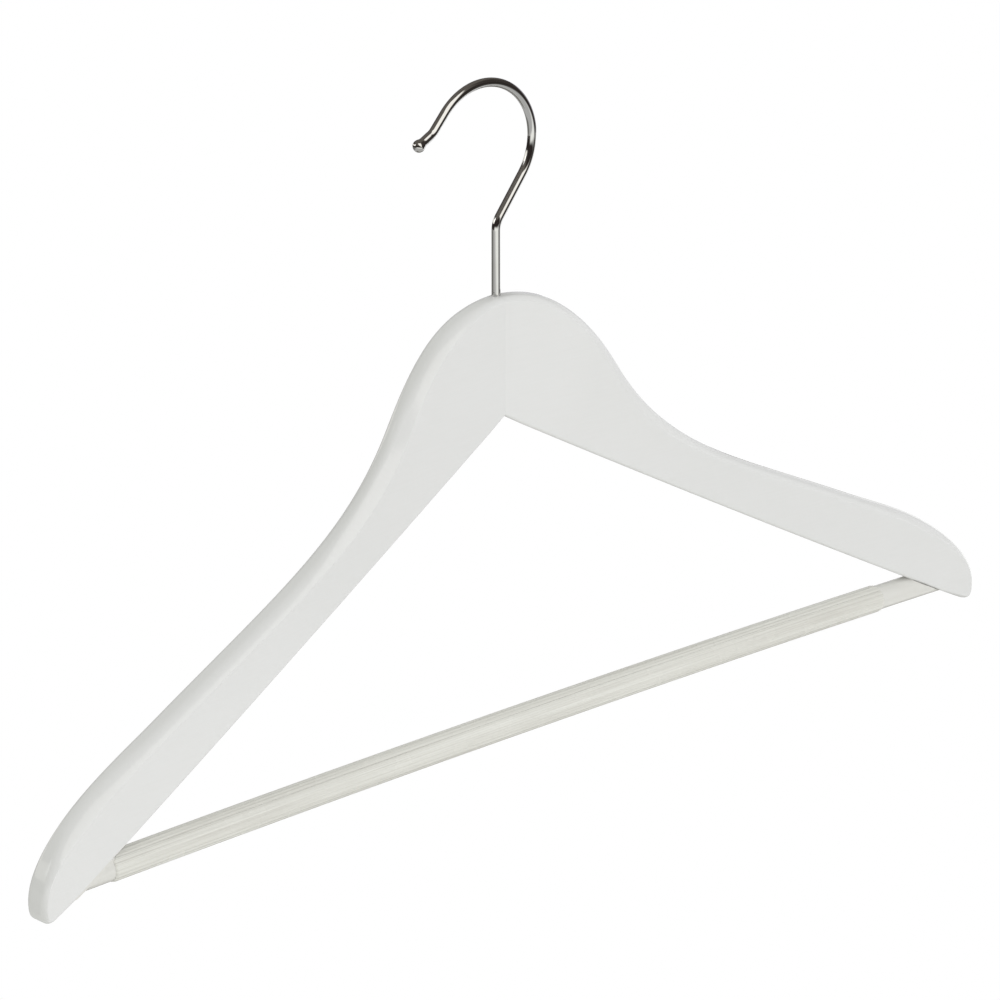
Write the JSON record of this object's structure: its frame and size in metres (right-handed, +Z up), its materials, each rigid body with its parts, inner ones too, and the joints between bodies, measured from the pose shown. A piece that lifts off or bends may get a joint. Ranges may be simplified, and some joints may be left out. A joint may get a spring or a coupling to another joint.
{
  "type": "shirt hanger",
  "caption": "Wooden shirt hanger with two angled arms, a swivelling wire hook with a ball tip and a trouser bar in a ribbed grip sleeve.",
  "frame": {"origin": "inside of the hook's bow, straight above the shank, where a rail carries the hanger", "axes": "+X to the right-hand tip seen from the front, -Y to the front, where the arm tips point, +Z up along the hook's shank"},
  "size_m": [0.4502, 0.0351, 0.2506],
  "materials": {
    "chrome_wire": "bright chrome plating on steel wire",
    "white_lacquer": "white satin lacquer on wood",
    "white_bar": "white satin lacquer on a wooden rod",
    "clear_sleeve": "clear soft PVC, slightly yellow, ribbed lengthways"
  },
  "bodies": {
    "hook": {"hook": "chrome_wire"},
    "frame": {"left_arm": "white_lacquer", "right_arm": "white_lacquer", "trouser_bar": "white_bar", "bar_sleeve": "clear_sleeve"}
  },
  "joints": [
    {"name": "hook_swivel", "type": "hinge", "parent": "hook", "child": "frame", "pos_m": [0, 0, -0.0775], "axis": [0, 0, 1], "continuous": true}
  ]
}
